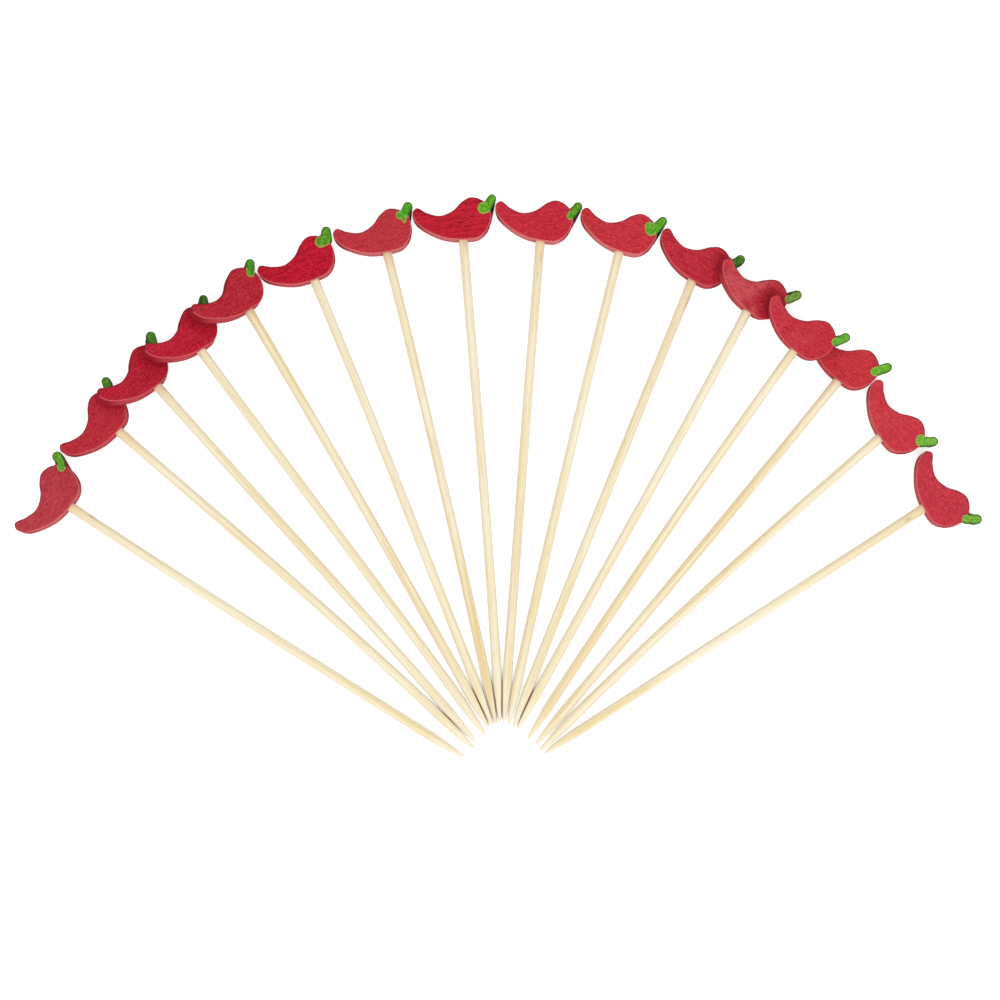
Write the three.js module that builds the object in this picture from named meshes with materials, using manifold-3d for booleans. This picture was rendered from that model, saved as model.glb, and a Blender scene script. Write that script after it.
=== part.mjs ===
// A set of sixteen wooden appetizer picks, laid out side by side as a fan.
// Each pick is a pointed skewer, a flat chilli cut from wood with a stub for its stalk, and a coat of
// green paint brushed thickly over the stub. Millimetres, +Z up, the table at z = 0.
// In a pick's own frame the point is at the origin, +Y runs up the skewer and +Z out of the painted face.

import * as THREE from 'three';
import { mergeVertices } from 'three/addons/utils/BufferGeometryUtils.js';
import Module from 'manifold-3d';

const wasm = await Module();
wasm.setup();

// Skewer
const skewerDiameter = 2.2;
const skewerReach = 112.6; // from the point to the lower edge of the chilli, on the longest pick
const pointLength = 12;
const pointDiameter = 0.5; // the point is cut off blunt
const skewerSides = 10;

// Chilli
const chilliLength = 18.2; // from the tail to the round end, without the stub
const chilliHeight = 9.85;
const chilliThickness = 3.8;
const edgeRound = 0.35;
const holeRoof = 2.6; // wood left between the end of the hole and the upper edge
const outlineSteps = 36;
// Points on the outline, counter-clockwise from above the hole, as shares of the length and the height.
const chilliCurve = [
  [0.12, 1], [0, 0.91], [-0.13, 0.72], [-0.3, 0.635], [-0.46, 0.735], [-0.585, 0.878], [-0.646, 0.77],
  [-0.612, 0.53], [-0.44, 0.25], [-0.24, 0.07], [0, 0], [0.17, 0.015], [0.29, 0.19], [0.355, 0.49],
  [0.335, 0.73], [0.25, 0.915],
];

// Stub of wood for the stalk, a bar with a round end
const stalkWidth = 1.5;
const stalkLength = 3; // from its root inside the chilli to the centre of its round end
const stalkLean = 50; // degrees up from the chilli's length
const stalkRoot = [0.285, 0.656]; // shares of the chilli's length and height
const stalkRoundSteps = 6;

// Green paint
const paintThickness = 0.2;
const paintDrop = 1.2; // how far it runs down the stub's sides
const paintRoundSteps = 5;

// Clearances
const fitGap = 0.2; // glued hole to skewer
const paintGap = 0.15; // wood to paint
const restGap = 0.3; // a pick to the one that it lies on
const sideGap = 0.15; // a pick to the one beside it

// Limits of the search for the places, and the distance at which a mesh's corners are one
const solverSteps = 26;
const roomSteps = 36;
const roomReach = 36; // how far up from the points two skewers are kept apart
const widestStep = 60; // degrees from one skewer to the next
const steepest = 40; // degrees of pitch and roll
const weld = 1e-4;

// The sixteen picks from left to right. Each gives, in millimetres and degrees:
// short: how much shorter its skewer is; turn and shift: how its chilli sits on the skewer;
// ahead: how far its point lies beyond the last one's; room: extra room beside the last skewer;
// lap: how far its chilli overlaps the last one; on: the neighbours that it lies on;
// dab: the round end of its brush stroke, as the way back from the stub's end, the way aside and the radius.
const picks = [
  { short: 5.3, turn: 0, shift: 1.1, ahead: 0, room: 0, lap: 0, on: [], dab: [2.5, -0.3, 1.1] },
  { short: 2.5, turn: 5, shift: -0.1, ahead: 0.5, room: 2.2, lap: -0.5, on: [], dab: [2.5, 0, 1.1] },
  { short: 2.8, turn: 5, shift: 0, ahead: -1.2, room: 0.4, lap: 5.1, on: [-1], dab: [2.5, 0, 1.1] },
  { short: 2.5, turn: 3, shift: 1, ahead: 0.1, room: 1.5, lap: 4.7, on: [-1], dab: [2.5, 0, 1.1] },
  { short: 1.5, turn: 10, shift: 0.1, ahead: -1, room: 0.7, lap: 5.8, on: [-1], dab: [2.7, -0.1, 1.1] },
  { short: 1.4, turn: 5, shift: 0.2, ahead: -0.1, room: 0.3, lap: 0, on: [], dab: [2.6, 0.4, 1.45] },
  { short: 0.5, turn: 3.5, shift: 0.4, ahead: -0.3, room: 0.3, lap: 0, on: [], dab: [2.6, 0.4, 1.25] },
  { short: 0.5, turn: 2, shift: 0.6, ahead: -0.3, room: 0.3, lap: 0, on: [], dab: [2.9, 0.4, 1.45] },
  { short: 0.7, turn: -0.5, shift: 1, ahead: 0, room: 0.3, lap: -0.2, on: [], dab: [2.8, -0.5, 1.05] },
  { short: 0.1, turn: 1, shift: 1.6, ahead: 0.2, room: 0.5, lap: -0.3, on: [], dab: [3.2, 0.2, 1.5] },
  { short: 1.1, turn: -4.5, shift: 0.8, ahead: 0.3, room: 0.6, lap: -0.3, on: [], dab: [2.5, 0, 1.1] },
  { short: 2.5, turn: 0.5, shift: 0.6, ahead: 0, room: 0.2, lap: 3.9, on: [-1], dab: [1.7, -0.1, 1.1] },
  { short: 4.5, turn: -0.5, shift: 1.1, ahead: 0.5, room: 2, lap: 4.4, on: [-1, 1], dab: [2.3, -0.4, 1.1] },
  { short: 3.3, turn: 7.5, shift: 0.5, ahead: -0.3, room: 1, lap: 7.8, on: [], dab: [3.4, -0.4, 1.15] },
  { short: 6.1, turn: -5, shift: 1.4, ahead: 0.3, room: 0.9, lap: -0.1, on: [], dab: [2.8, -0.1, 1.25] },
  { short: 8.9, turn: -1, shift: 1, ahead: -0.6, room: 0.5, lap: -1.3, on: [], dab: [2.2, -0.7, 1.1] },
];

const colours = { bamboo: 0xf2e2b4, chilli: 0xc02a3a, stalk: 0x4ea62c };
const degrees = Math.PI / 180;

function makeMaterial(colour, roughness) {
  return new THREE.MeshStandardMaterial({ color: colour, roughness, metalness: 0 });
}

function toSolid(geometry) {
  geometry.deleteAttribute('normal');
  geometry.deleteAttribute('uv');
  const merged = mergeVertices(geometry, weld);
  const mesh = new wasm.Mesh({
    numProp: 3,
    vertProperties: new Float32Array(merged.attributes.position.array),
    triVerts: new Uint32Array(merged.index.array),
  });
  return new wasm.Manifold(mesh);
}

function toGeometry(solid) {
  const mesh = solid.getMesh();
  const geometry = new THREE.BufferGeometry();
  geometry.setAttribute('position', new THREE.BufferAttribute(mesh.vertProperties, mesh.numProp));
  geometry.setIndex(new THREE.BufferAttribute(mesh.triVerts, 1));
  geometry.computeVertexNormals();
  return geometry;
}

// Outlines in the plane of a chilli's face

function chilliOutline() {
  const points = chilliCurve.map(([x, y]) => new THREE.Vector3(x * chilliLength, y * chilliHeight, 0));
  const curve = new THREE.CatmullRomCurve3(points, true, 'centripetal');
  return curve.getSpacedPoints(outlineSteps).slice(0, -1).map((p) => new THREE.Vector2(p.x, p.y));
}

// The outline round two circles, counter-clockwise.
function stroke(from, fromRadius, to, toRadius, steps) {
  const along = to.clone().sub(from);
  const spread = Math.asin((fromRadius - toRadius) / along.length());
  const points = [];
  const addArc = (centre, radius, start, end) => {
    for (let k = 0; k <= steps; k += 1) {
      const angle = start + ((end - start) * k) / steps;
      points.push(new THREE.Vector2(Math.cos(angle), Math.sin(angle)).multiplyScalar(radius).add(centre));
    }
  };
  const quarter = Math.PI / 2 - spread;
  addArc(to, toRadius, along.angle() - quarter, along.angle() + quarter);
  addArc(from, fromRadius, along.angle() + quarter, along.angle() + 2 * Math.PI - quarter);
  return points;
}

const stalkStart = new THREE.Vector2(stalkRoot[0] * chilliLength, stalkRoot[1] * chilliHeight);
const stalkWay = new THREE.Vector2(Math.cos(stalkLean * degrees), Math.sin(stalkLean * degrees));
const stalkEnd = stalkStart.clone().addScaledVector(stalkWay, stalkLength);

function stalkOutline() {
  return stroke(stalkStart, stalkWidth / 2, stalkEnd, stalkWidth / 2, stalkRoundSteps);
}

function paintOutline(pick) {
  const [back, aside, radius] = pick.dab;
  const centre = stalkEnd.clone().addScaledVector(stalkWay, -back);
  centre.add(new THREE.Vector2(-stalkWay.y, stalkWay.x).multiplyScalar(aside));
  const coatRadius = stalkWidth / 2 + paintGap + paintThickness;
  return stroke(centre, radius, stalkEnd, coatRadius, paintRoundSteps);
}

// Moves an outline from the chilli's own place to its place on the pick.
function onSkewer(outline, pick) {
  const centre = new THREE.Vector2();
  const move = new THREE.Vector2(pick.shift, skewerReach - pick.short);
  return outline.map((p) => p.clone().rotateAround(centre, pick.turn * degrees).add(move));
}

// Where an outline crosses the skewer's axis.
function crossings(outline) {
  const heights = [];
  outline.forEach((a, k) => {
    const b = outline[(k + 1) % outline.length];
    if (a.x < 0 !== b.x < 0) {
      heights.push(a.y + ((b.y - a.y) * a.x) / (a.x - b.x));
    }
  });
  return heights.sort((a, b) => a - b);
}

// Solids of one pick, in its own frame

function slab(outline, bottom, top, round) {
  const geometry = new THREE.ExtrudeGeometry(new THREE.Shape(outline), {
    depth: top - bottom - 2 * round,
    bevelEnabled: round > 0,
    bevelThickness: round,
    bevelSize: round,
    bevelOffset: -round,
    bevelSegments: 1,
  });
  geometry.translate(0, 0, bottom + round);
  return toSolid(geometry);
}

function holeEnd(pick) {
  const heights = crossings(onSkewer(chilliOutline(), pick));
  return heights[heights.length - 1] - holeRoof;
}

function skewerGeometry(pick) {
  const end = holeEnd(pick) - fitGap;
  const profile = [
    [0, 0], [pointDiameter / 2, 0], [skewerDiameter / 2, pointLength], [skewerDiameter / 2, end], [0, end],
  ];
  return new THREE.LatheGeometry(profile.map(([x, y]) => new THREE.Vector2(x, y)), skewerSides);
}

// The outline moved outwards by a margin.
function widened(outline, margin) {
  return outline.map((p, k) => {
    const along = outline[(k + 1) % outline.length].clone().sub(outline.at(k - 1)).normalize();
    return p.clone().add(new THREE.Vector2(along.y, -along.x).multiplyScalar(margin));
  });
}

function wood(pick, margin, round) {
  const half = chilliThickness / 2 + margin;
  const [body, stalk] = [chilliOutline(), stalkOutline()].map((outline) => {
    return slab(widened(onSkewer(outline, pick), margin), -half, half, round);
  });
  return body.add(stalk);
}

function chilliGeometry(pick) {
  const start = skewerReach - pick.short - chilliHeight;
  const end = holeEnd(pick);
  const radius = skewerDiameter / 2 + fitGap;
  const hole = new THREE.CylinderGeometry(radius, radius, end - start, skewerSides);
  hole.translate(0, (start + end) / 2, 0);
  return toGeometry(wood(pick, 0, edgeRound).subtract(toSolid(hole)));
}

// The coat lies on the face and runs a little way down the sides of the stub.
function paintGeometry(pick) {
  const face = chilliThickness / 2;
  const coat = slab(onSkewer(paintOutline(pick), pick), face - paintDrop, face + paintGap + paintThickness, 0);
  return toGeometry(coat.subtract(wood(pick, paintGap, 0)));
}

// Places of the picks on the table. A place holds the point's position, the lean of the skewer in the
// fan, and the pitch and roll with which the pick lies.

function placeMatrix(place) {
  const shaftRise = (skewerDiameter / 2) * Math.cos(place.pitch) - pointLength * Math.sin(place.pitch);
  const pointRise = (pointDiameter / 2) * Math.cos(place.pitch);
  const turn = new THREE.Euler(place.pitch, place.roll, place.lean, 'ZXY');
  const matrix = new THREE.Matrix4().makeRotationFromEuler(turn);
  return matrix.setPosition(place.x, place.y, Math.max(shaftRise, pointRise));
}

// Every edge that another pick can meet, with its height in the pick's frame.
function edgesOf(pick) {
  const body = onSkewer(chilliOutline(), pick);
  const stalk = onSkewer(stalkOutline(), pick);
  const back = -chilliThickness / 2;
  const face = chilliThickness / 2;
  return {
    back: [{ outline: body, height: back }, { outline: stalk, height: back }],
    face: [
      { outline: body, height: face },
      { outline: stalk, height: face },
      { outline: onSkewer(paintOutline(pick), pick), height: face + paintGap + paintThickness },
    ],
  };
}

function isInside(outline, x, y) {
  let inside = false;
  outline.forEach((a, k) => {
    const b = outline[(k + 1) % outline.length];
    if (a.y > y !== b.y > y && x < a.x + ((y - a.y) * (b.x - a.x)) / (b.y - a.y)) {
      inside = !inside;
    }
  });
  return inside;
}

function distanceToLine(p, a, b) {
  const along = b.clone().sub(a);
  const share = THREE.MathUtils.clamp(p.clone().sub(a).dot(along) / along.lengthSq(), 0, 1);
  return p.distanceTo(a.clone().addScaledVector(along, share));
}

// The least distance of two outlines seen from above, or below zero where they overlap.
function clearance(first, second) {
  let least = Infinity;
  [[first, second], [second, first]].forEach(([points, outline]) => {
    points.forEach((p) => {
      outline.forEach((a, k) => {
        least = Math.min(least, distanceToLine(p, a, outline[(k + 1) % outline.length]));
      });
      least = isInside(outline, p.x, p.y) ? -1 : least;
    });
  });
  return least;
}

// The value between two limits at which a rising function passes zero.
function crossing(rising, from, to) {
  let low = from;
  let high = to;
  for (let k = 0; k < solverSteps; k += 1) {
    const middle = (low + high) / 2;
    if (rising(middle) < 0) {
      low = middle;
    } else {
      high = middle;
    }
  }
  return high;
}

function lifted(edge, matrix) {
  return edge.outline.map((p) => new THREE.Vector3(p.x, p.y, edge.height).applyMatrix4(matrix));
}

function seenFromAbove(edges, place) {
  const matrix = placeMatrix(place);
  return [...edges.back, ...edges.face].map((edge) => lifted(edge, matrix).map((p) => new THREE.Vector2(p.x, p.y)));
}

function skewerRadius(length) {
  const share = THREE.MathUtils.clamp(length / pointLength, 0, 1);
  return THREE.MathUtils.lerp(pointDiameter, skewerDiameter, share) / 2;
}

// The least room between two skewers seen from above, looked for along the first.
function skewerRoom(first, second) {
  const way = new THREE.Vector2(-Math.sin(first.lean), Math.cos(first.lean));
  const otherWay = new THREE.Vector2(-Math.sin(second.lean), Math.cos(second.lean));
  let least = Infinity;
  for (let k = 0; k <= roomSteps; k += 1) {
    const length = (roomReach * k) / roomSteps;
    const p = new THREE.Vector2(first.x, first.y).addScaledVector(way, length);
    const from = p.clone().sub(new THREE.Vector2(second.x, second.y));
    const otherLength = Math.max(0, from.dot(otherWay));
    const distance = from.addScaledVector(otherWay, -otherLength).length();
    least = Math.min(least, distance - skewerRadius(length) - skewerRadius(otherLength));
  }
  return least;
}

// Lays a pick flat beside the last one, with its skewer at a given lean.
function besideSkewer(pick, last, lean) {
  const placeAt = (aside) => ({
    x: last.x + aside * Math.cos(lean) + pick.ahead * Math.sin(lean),
    y: last.y + aside * Math.sin(lean) - pick.ahead * Math.cos(lean),
    lean,
    pitch: 0,
    roll: 0,
  });
  const room = (aside) => {
    const place = placeAt(aside);
    return Math.min(skewerRoom(place, last), skewerRoom(last, place)) - sideGap - pick.room;
  };
  return placeAt(crossing(room, 0, pointLength + skewerDiameter + pick.room));
}

// Lays a pick beside the last one, so that their chillies nearly touch or overlap as far as they should.
function besideLast(pick, edges, last, lastEdges) {
  const lastSeen = seenFromAbove(lastEdges, last);
  const apart = (step) => {
    const seen = seenFromAbove(edges, besideSkewer(pick, last, last.lean - step));
    const gaps = lastSeen.flatMap((outline) => seen.map((other) => clearance(outline, other)));
    return Math.min(...gaps) - sideGap;
  };
  const step = crossing(apart, 0, widestStep * degrees) - pick.lap / skewerReach;
  return besideSkewer(pick, last, last.lean - step);
}

// The least gaps under the left and the right half of a pick, to the table and to the picks it lies on.
function gapsUnder(edges, place, supports) {
  const gaps = [Infinity, Infinity];
  const matrix = placeMatrix(place);
  const inverse = matrix.clone().invert();
  const note = (x, gap) => {
    const side = x < 0 ? 0 : 1;
    gaps[side] = Math.min(gaps[side], gap);
  };
  edges.back.forEach((edge) => {
    lifted(edge, matrix).forEach((p, k) => note(edge.outline[k].x, p.z));
  });
  supports.forEach((support) => {
    const supportMatrix = placeMatrix(support.place);
    const toSupport = supportMatrix.clone().invert().multiply(matrix);
    const fromSupport = inverse.clone().multiply(supportMatrix);
    edges.back.forEach((edge) => {
      lifted(edge, toSupport).forEach((p, k) => {
        support.edges.face.filter((under) => isInside(under.outline, p.x, p.y)).forEach((under) => {
          note(edge.outline[k].x, p.z - under.height - restGap);
        });
      });
      support.edges.face.forEach((under) => {
        lifted(under, fromSupport).filter((p) => isInside(edge.outline, p.x, p.y)).forEach((p) => {
          note(p.x, edge.height - p.z - restGap);
        });
      });
    });
  });
  return gaps;
}

// Tips a pick until both halves of it just rest.
function settled(edges, place, supports) {
  const pitchAt = (roll) => {
    const least = (pitch) => Math.min(...gapsUnder(edges, { ...place, pitch, roll }, supports));
    return crossing(least, -steepest * degrees, steepest * degrees);
  };
  const leftOverRight = (roll) => {
    const [left, right] = gapsUnder(edges, { ...place, pitch: pitchAt(roll), roll }, supports);
    return left - right;
  };
  const roll = crossing(leftOverRight, -steepest * degrees, steepest * degrees);
  return { ...place, pitch: pitchAt(roll), roll };
}

function layOut() {
  const edges = picks.map(edgesOf);
  const places = [];
  const isSettled = [];
  const settle = (index) => {
    const under = (picks[index]?.on ?? []).map((way) => index + way);
    if (index < 0 || isSettled[index] || !under.every((k) => isSettled[k])) {
      return;
    }
    const supports = under.map((k) => ({ edges: edges[k], place: places[k] }));
    places[index] = settled(edges[index], places[index], supports);
    isSettled[index] = true;
  };
  picks.forEach((pick, index) => {
    const last = { x: 0, y: 0, lean: 0, pitch: 0, roll: 0 };
    places.push(index ? besideLast(pick, edges[index], places[index - 1], edges[index - 1]) : last);
    settle(index);
    settle(index - 1);
  });
  return places;
}

// The set

const materials = {
  skewer: makeMaterial(colours.bamboo, 0.7),
  chilli: makeMaterial(colours.chilli, 0.65),
  stalk: makeMaterial(colours.stalk, 0.55),
};
const shapes = { skewer: skewerGeometry, chilli: chilliGeometry, stalk: paintGeometry };

const places = layOut();
const fan = new THREE.Group();
picks.forEach((pick, index) => {
  const assembly = new THREE.Group();
  assembly.applyMatrix4(placeMatrix(places[index]));
  Object.entries(shapes).forEach(([name, makeShape]) => {
    const mesh = new THREE.Mesh(makeShape(pick), materials[name].clone());
    mesh.name = `pick_${String(index + 1).padStart(2, '0')}_${name}`;
    assembly.add(mesh);
  });
  fan.add(assembly);
});

// The fan leans the same way left and right, and stands on the middle of its box.
fan.rotation.z = -(places[0].lean + places[places.length - 1].lean) / 2;
const set = new THREE.Group();
set.add(fan);
set.updateMatrixWorld(true);
const box = new THREE.Box3().setFromObject(set, true);
const middle = box.getCenter(new THREE.Vector3());
fan.position.set(-middle.x, -middle.y, -box.min.z);
set.updateMatrixWorld(true);

export default set;
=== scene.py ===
# Sixteen bamboo appetizer picks laid out as a fan. Each has a flat red wooden chilli on its end, whose
# stalk is brushed thickly with green paint.
# Shapes are made in millimetres in a pick's own frame, with its point at the origin, +Y up the skewer and
# +Z out of the painted face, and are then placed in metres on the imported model.

import math

import bmesh
import bpy
import numpy as np
from mathutils import Matrix, Vector, noise


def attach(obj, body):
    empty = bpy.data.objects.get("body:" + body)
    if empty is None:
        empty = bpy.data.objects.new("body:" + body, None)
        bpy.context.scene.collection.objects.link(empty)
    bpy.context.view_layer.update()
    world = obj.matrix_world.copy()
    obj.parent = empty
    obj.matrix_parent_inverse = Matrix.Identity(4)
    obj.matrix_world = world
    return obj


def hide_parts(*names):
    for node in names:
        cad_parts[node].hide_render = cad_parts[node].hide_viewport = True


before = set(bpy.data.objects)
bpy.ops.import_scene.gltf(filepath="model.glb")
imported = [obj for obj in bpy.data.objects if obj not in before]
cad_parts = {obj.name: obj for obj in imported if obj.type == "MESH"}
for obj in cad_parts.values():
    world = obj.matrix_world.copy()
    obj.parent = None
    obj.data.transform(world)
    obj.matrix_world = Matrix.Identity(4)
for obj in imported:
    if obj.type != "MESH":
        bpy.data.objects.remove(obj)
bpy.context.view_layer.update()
print("frame loaded:", len(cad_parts), "nodes")

millimetre = 0.001  # in metres

# The picks from left to right.
# short: how much shorter the skewer is than the longest
# turn, shift: how the chilli sits on the skewer
# bow: how far the skewer bends aside, how much more of it near the chilli, and how far its end lies aside
# yellow: how yellow the skewer is
# red, green: colours of the face and of the stalk
# streaks: how strongly dark grain shows on the face
# bare: how much paler the face is in places
# pale: how strongly painted light makes the walls and the lower rims paler
# stub: the end of the stalk, as x, y and radius of a circle
# web: a lower slab of wood in the corner under the stub, which carries painted shade, as x, y and radius of a
# circle, and how dark that painted shade is
# dabs: strokes of green, each as a chain of circles of x, y and radius
# marks: brown marks on the skewer, each as the way below the chilli, the way aside, the length, the width
# and the strength
# stub, web and dabs are in the chilli's own frame, x along it and y up from its lower edge.
picks = [
    {"short": 5.3, "turn": 0, "shift": 1.1, "bow": (-0.42, -0.21, 0.48), "yellow": 0.4,
     "red": (193, 61, 72), "streaks": 0.1, "bare": 0.15, "pale": 0.5, "green": (94, 163, 36),
     "stub": (7.45, 8.8, 0.92), "web": (5.6, 5.5, 1.05, 0.55),
     "dabs": [[(7.4, 8.82, 1.15), (6.85, 7.4, 0.92), (5.75, 6.6, 0.98)]],
     "marks": [(5.5, 0.5, 1.8, 0.25, 0.6)]},
    {"short": 2.5, "turn": 5, "shift": -0.1, "bow": (0.81, -0.53, -0.27), "yellow": 0.4,
     "red": (200, 47, 63), "streaks": 0.25, "bare": 0, "pale": 0.1, "green": (92, 160, 46),
     "stub": (7.3, 9.15, 0.9), "web": None,
     "dabs": [[(7.35, 9.2, 1.05), (6.0, 7.0, 1.0)]],
     "marks": [(0.8, -0.9, 1.2, 0.3, 0.6)]},
    {"short": 2.8, "turn": 5, "shift": 0, "bow": (0.14, -0.33, 0.15), "yellow": 0.4,
     "red": (200, 30, 57), "streaks": 0.35, "bare": 0, "pale": 0.1, "green": (86, 156, 42),
     "stub": (7.25, 9.35, 0.95), "web": None,
     "dabs": [[(7.3, 9.4, 1.12), (6.1, 7.2, 1.0)]],
     "marks": [(0, 0.2, 4.5, 1.2, 0.4)]},
    {"short": 2.5, "turn": 3, "shift": 1, "bow": (0.19, -0.44, 0.24), "yellow": 0.25,
     "red": (205, 30, 58), "streaks": 0.3, "bare": 0, "pale": 0.1, "green": (58, 112, 24),
     "stub": (7.0, 9.25, 0.88), "web": None,
     "dabs": [[(7.05, 9.3, 1.0), (6.0, 7.2, 1.0)]],
     "marks": [(0.5, -0.9, 0.8, 0.25, 0.5)]},
    {"short": 1.5, "turn": 10, "shift": 0.1, "bow": (0.45, 0.21, -0.36), "yellow": 0.7,
     "red": (195, 39, 56), "streaks": 0.1, "bare": 0, "pale": 0.1, "green": (67, 149, 23),
     "stub": (6.65, 8.55, 0.92), "web": None,
     "dabs": [[(6.7, 8.6, 1.08), (5.25, 6.75, 1.0)]],
     "marks": [(0, 0, 3, 1.2, 0.3)]},
    {"short": 1.4, "turn": 5, "shift": 0.2, "bow": (0.37, 0.21, -0.68), "yellow": 0.2,
     "red": (211, 18, 53), "streaks": 0.8, "bare": 0, "pale": 0.4, "green": (94, 157, 19),
     "stub": (6.75, 9.0, 0.92), "web": None,
     "dabs": [[(6.8, 9.05, 1.07), (5.9, 7.3, 1.4), (4.65, 7.35, 1.45)]],
     "marks": []},
    {"short": 0.5, "turn": 3.5, "shift": 0.4, "bow": (0.57, 0.03, -0.54), "yellow": 0.8,
     "red": (203, 57, 68), "streaks": 0.1, "bare": 0, "pale": 0.7, "green": (74, 170, 13),
     "stub": (6.8, 8.95, 0.95), "web": (5.6, 5.7, 0.85, 0.9),
     "dabs": [[(6.85, 9.0, 1.1), (5.3, 7.35, 0.95), (5.08, 5.85, 0.42)],
              [(5.7, 7.4, 0.9), (4.55, 7.55, 1.02)]],
     "marks": [(0, 0.4, 5, 0.9, 0.3)]},
    {"short": 0.5, "turn": 2, "shift": 0.6, "bow": (0.4, -0.14, -0.08), "yellow": 0.1,
     "red": (215, 35, 59), "streaks": 1, "bare": 0, "pale": 0.8, "green": (98, 178, 17),
     "stub": (7.05, 8.9, 0.85), "web": (5.35, 4.55, 1.15, 1),
     "dabs": [[(7.1, 8.95, 0.98), (5.6, 6.8, 1.15), (4.9, 6.9, 1.42)]],
     "marks": [(0.9, 0.2, 1.6, 0.22, 0.9), (1.2, 0.45, 3, 0.6, 0.35)]},
    {"short": 0.7, "turn": -0.5, "shift": 1, "bow": (-0.12, -0.1, 0.37), "yellow": 0.4,
     "red": (211, 44, 63), "streaks": 0.1, "bare": 0, "pale": 1, "green": (92, 157, 16),
     "stub": (7.35, 8.65, 0.9), "web": (5.3, 4.5, 1.15, 0.9),
     "dabs": [[(7.4, 8.7, 1.05), (5.85, 6.35, 0.93)]],
     "marks": [(3.6, 0.3, 2.6, 0.3, 0.5), (7.4, -0.1, 3, 0.22, 0.35)]},
    {"short": 0.1, "turn": 1, "shift": 1.6, "bow": (-0.54, 0.16, 0.5), "yellow": 0.35,
     "red": (213, 54, 67), "streaks": 0.1, "bare": 0, "pale": 1, "green": (97, 176, 35),
     "stub": (7.2, 9.05, 0.9), "web": (5.35, 4.5, 1.15, 1),
     "dabs": [[(7.25, 9.1, 1.05), (5.9, 6.9, 1.2), (5.05, 6.5, 1.45)], [(5.0, 6.9, 1.3), (4.5, 7.2, 1.15)]],
     "marks": []},
    {"short": 1.1, "turn": -4.5, "shift": 0.8, "bow": (-0.18, 0.1, 0.35), "yellow": 0.4,
     "red": (208, 47, 66), "streaks": 0.35, "bare": 0, "pale": 0.1, "green": (70, 130, 28),
     "stub": (7.4, 9.2, 0.95), "web": None,
     "dabs": [[(7.45, 9.25, 1.1), (6.1, 7.0, 1.0)]],
     "marks": [(4.8, 0.9, 3.4, 0.3, 0.8)]},
    {"short": 2.5, "turn": 0.5, "shift": 0.6, "bow": (0.32, 0.4, -0.16), "yellow": 0.2,
     "red": (196, 52, 66), "streaks": 0.1, "bare": 0.55, "pale": 0.1, "green": (122, 165, 73),
     "stub": (7.55, 9.15, 0.97), "web": None,
     "dabs": [[(7.6, 9.2, 1.12), (6.3, 7.35, 1.05)]],
     "marks": [(0.6, 0.7, 1.2, 0.35, 0.5)]},
    {"short": 4.5, "turn": -0.5, "shift": 1.1, "bow": (-0.78, -0.05, 0.83), "yellow": 0.6,
     "red": (210, 50, 68), "streaks": 0.1, "bare": 0.15, "pale": 0.1, "green": (112, 183, 54),
     "stub": (7.4, 9.15, 0.92), "web": None,
     "dabs": [[(7.45, 9.2, 1.07), (6.15, 7.05, 1.02)]],
     "marks": []},
    {"short": 3.3, "turn": 7.5, "shift": 0.5, "bow": (0.48, 0.01, -0.15), "yellow": 0.6,
     "red": (216, 58, 68), "streaks": 0.1, "bare": 0, "pale": 0.1, "green": (113, 186, 46),
     "stub": (7.35, 8.6, 0.92), "web": None,
     "dabs": [[(7.4, 8.65, 1.08), (5.5, 6.25, 1.1)]],
     "marks": [(0, 0, 2, 1.2, 0.2)]},
    {"short": 6.1, "turn": -5, "shift": 1.4, "bow": (-1.13, 0.26, 0.88), "yellow": 0.5,
     "red": (216, 60, 73), "streaks": 0.1, "bare": 0.1, "pale": 0.4, "green": (128, 191, 62),
     "stub": (7.5, 8.95, 0.95), "web": None,
     "dabs": [[(7.55, 9.0, 1.1), (5.8, 6.55, 1.12), (5.35, 7.05, 1.15)]],
     "marks": []},
    {"short": 8.9, "turn": -1, "shift": 1, "bow": (-0.04, 0.09, 0.13), "yellow": 0.6,
     "red": (211, 61, 76), "streaks": 0.1, "bare": 0, "pale": 0.4, "green": (127, 187, 68),
     "stub": (7.6, 8.85, 1.02), "web": None,
     "dabs": [[(7.65, 8.9, 1.17), (6.35, 6.85, 1.05)]],
     "marks": [(4.4, 0.2, 1.4, 0.3, 0.7)]},
]


def asSeen(red, green, blue):
    # a colour of 0 to 255, as the eye reads it, in the renderer's linear values
    values = [c / 255 for c in (red, green, blue)]
    return tuple(c / 12.92 if c <= 0.04045 else ((c + 0.055) / 1.055) ** 2.4 for c in values) + (1.0,)


def smoothStep(low, high, values):
    share = np.clip((values - low) / (high - low), 0, 1)
    return share * share * (3 - 2 * share)


# Node trees


class Term:
    # a socket in a node tree, so that sums on sockets add Math nodes
    def __init__(self, tree, socket=None):
        self.tree = tree
        self.socket = socket

    def add(self, kind, settings, inputs, output=0):
        node = self.tree.nodes.new(kind)
        for name, value in settings.items():
            setattr(node, name, value)
        for name, value in inputs.items():
            if isinstance(value, Term):
                self.tree.links.new(value.socket, node.inputs[name])
            else:
                node.inputs[name].default_value = value
        return Term(self.tree, node.outputs[output] if node.outputs else None)

    def maths(self, operation, first, second):
        return self.add("ShaderNodeMath", {"operation": operation}, {0: first, 1: second})

    def __add__(self, other):
        return self.maths("ADD", self, other)

    def __radd__(self, other):
        return self.maths("ADD", other, self)

    def __sub__(self, other):
        return self.maths("SUBTRACT", self, other)

    def __rsub__(self, other):
        return self.maths("SUBTRACT", other, self)

    def __mul__(self, other):
        return self.maths("MULTIPLY", self, other)

    def __rmul__(self, other):
        return self.maths("MULTIPLY", other, self)

    def __truediv__(self, other):
        return self.maths("DIVIDE", self, other)

    def __rtruediv__(self, other):
        return self.maths("DIVIDE", other, self)


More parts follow.
